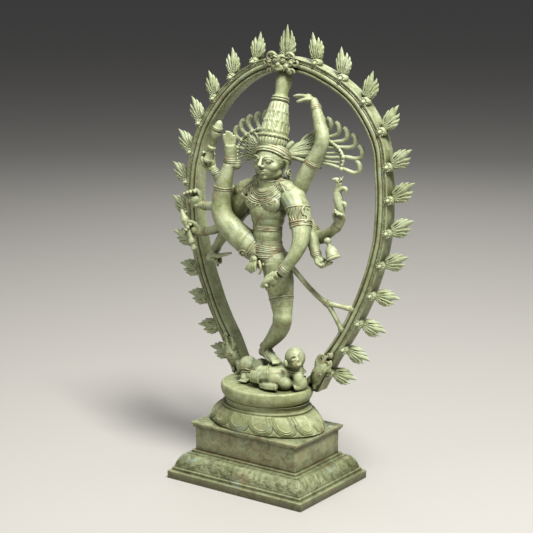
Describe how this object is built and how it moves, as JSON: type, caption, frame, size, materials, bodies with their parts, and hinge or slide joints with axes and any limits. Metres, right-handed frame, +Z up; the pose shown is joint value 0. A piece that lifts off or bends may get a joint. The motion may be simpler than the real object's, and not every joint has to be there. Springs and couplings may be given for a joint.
{
  "type": "nataraja statue",
  "caption": "Cast brass dancing figure with a flaming arch on a lotus seat and stepped plinth, with a pale green patina.",
  "frame": {"origin": "centre of the plinth's underside, which is the middle of the bottom of the whole statue", "axes": "+Z up, -Y the way the figure and the arch face, +X the figure's own left (the right of a person looking at its front)"},
  "size_m": [0.493, 0.1986, 0.7618],
  "materials": {
    "patina_figure": "pale grey-green patina over cast brass, rubbed on the high spots",
    "patina_arch": "sage green patina over cast brass, pinkish brown on rubbed ridges",
    "patina_flame": "light cream green patina over cast brass",
    "patina_plinth": "olive patina over cast brass, darker in the recesses",
    "fixings": "plain dull steel fixings under the plinth"
  },
  "bodies": {
    "root": {"plinth_base": "patina_plinth", "plinth_die": "patina_plinth", "plinth_slab": "patina_plinth", "lotus_bell": "patina_plinth", "lotus_disc": "patina_plinth", "tie_stud": "fixings", "tie_washer": "fixings", "tie_nut": "fixings", "dwarf": "patina_plinth", "arch_left": "patina_arch", "makara_left": "patina_arch", "flame_left_01": "patina_flame", "flame_left_02": "patina_flame", "flame_left_03": "patina_flame", "flame_left_04": "patina_flame", "flame_left_05": "patina_flame", "flame_left_06": "patina_flame", "flame_left_07": "patina_flame", "flame_left_08": "patina_flame", "flame_left_09": "patina_flame", "flame_left_10": "patina_flame", "flame_left_11": "patina_flame", "flame_left_12": "patina_flame", "arch_right": "patina_arch", "makara_right": "patina_arch", "flame_right_01": "patina_flame", "flame_right_02": "patina_flame", "flame_right_03": "patina_flame", "flame_right_04": "patina_flame", "flame_right_05": "patina_flame", "flame_right_06": "patina_flame", "flame_right_07": "patina_flame", "flame_right_08": "patina_flame", "flame_right_09": "patina_flame", "flame_right_10": "patina_flame", "flame_right_11": "patina_flame", "flame_right_12": "patina_flame", "mask": "patina_arch", "flame_crest": "patina_flame", "torso": "patina_figure", "head": "patina_figure", "crown": "patina_figure", "raised_leg": "patina_figure", "standing_leg": "patina_figure", "hand_deer": "patina_figure", "hand_drum": "patina_figure", "hand_club": "patina_figure", "hand_bell": "patina_figure", "arm_right_top": "patina_figure", "arm_right_upper": "patina_figure", "arm_right_lower": "patina_figure", "arm_right_front": "patina_figure", "arm_left_raised": "patina_figure", "arm_left_deer": "patina_figure", "arm_left_bell": "patina_figure", "arm_left_front": "patina_figure", "hair_left": "patina_figure", "hair_right": "patina_figure", "sash": "patina_figure"}
  },
  "joints": []
}
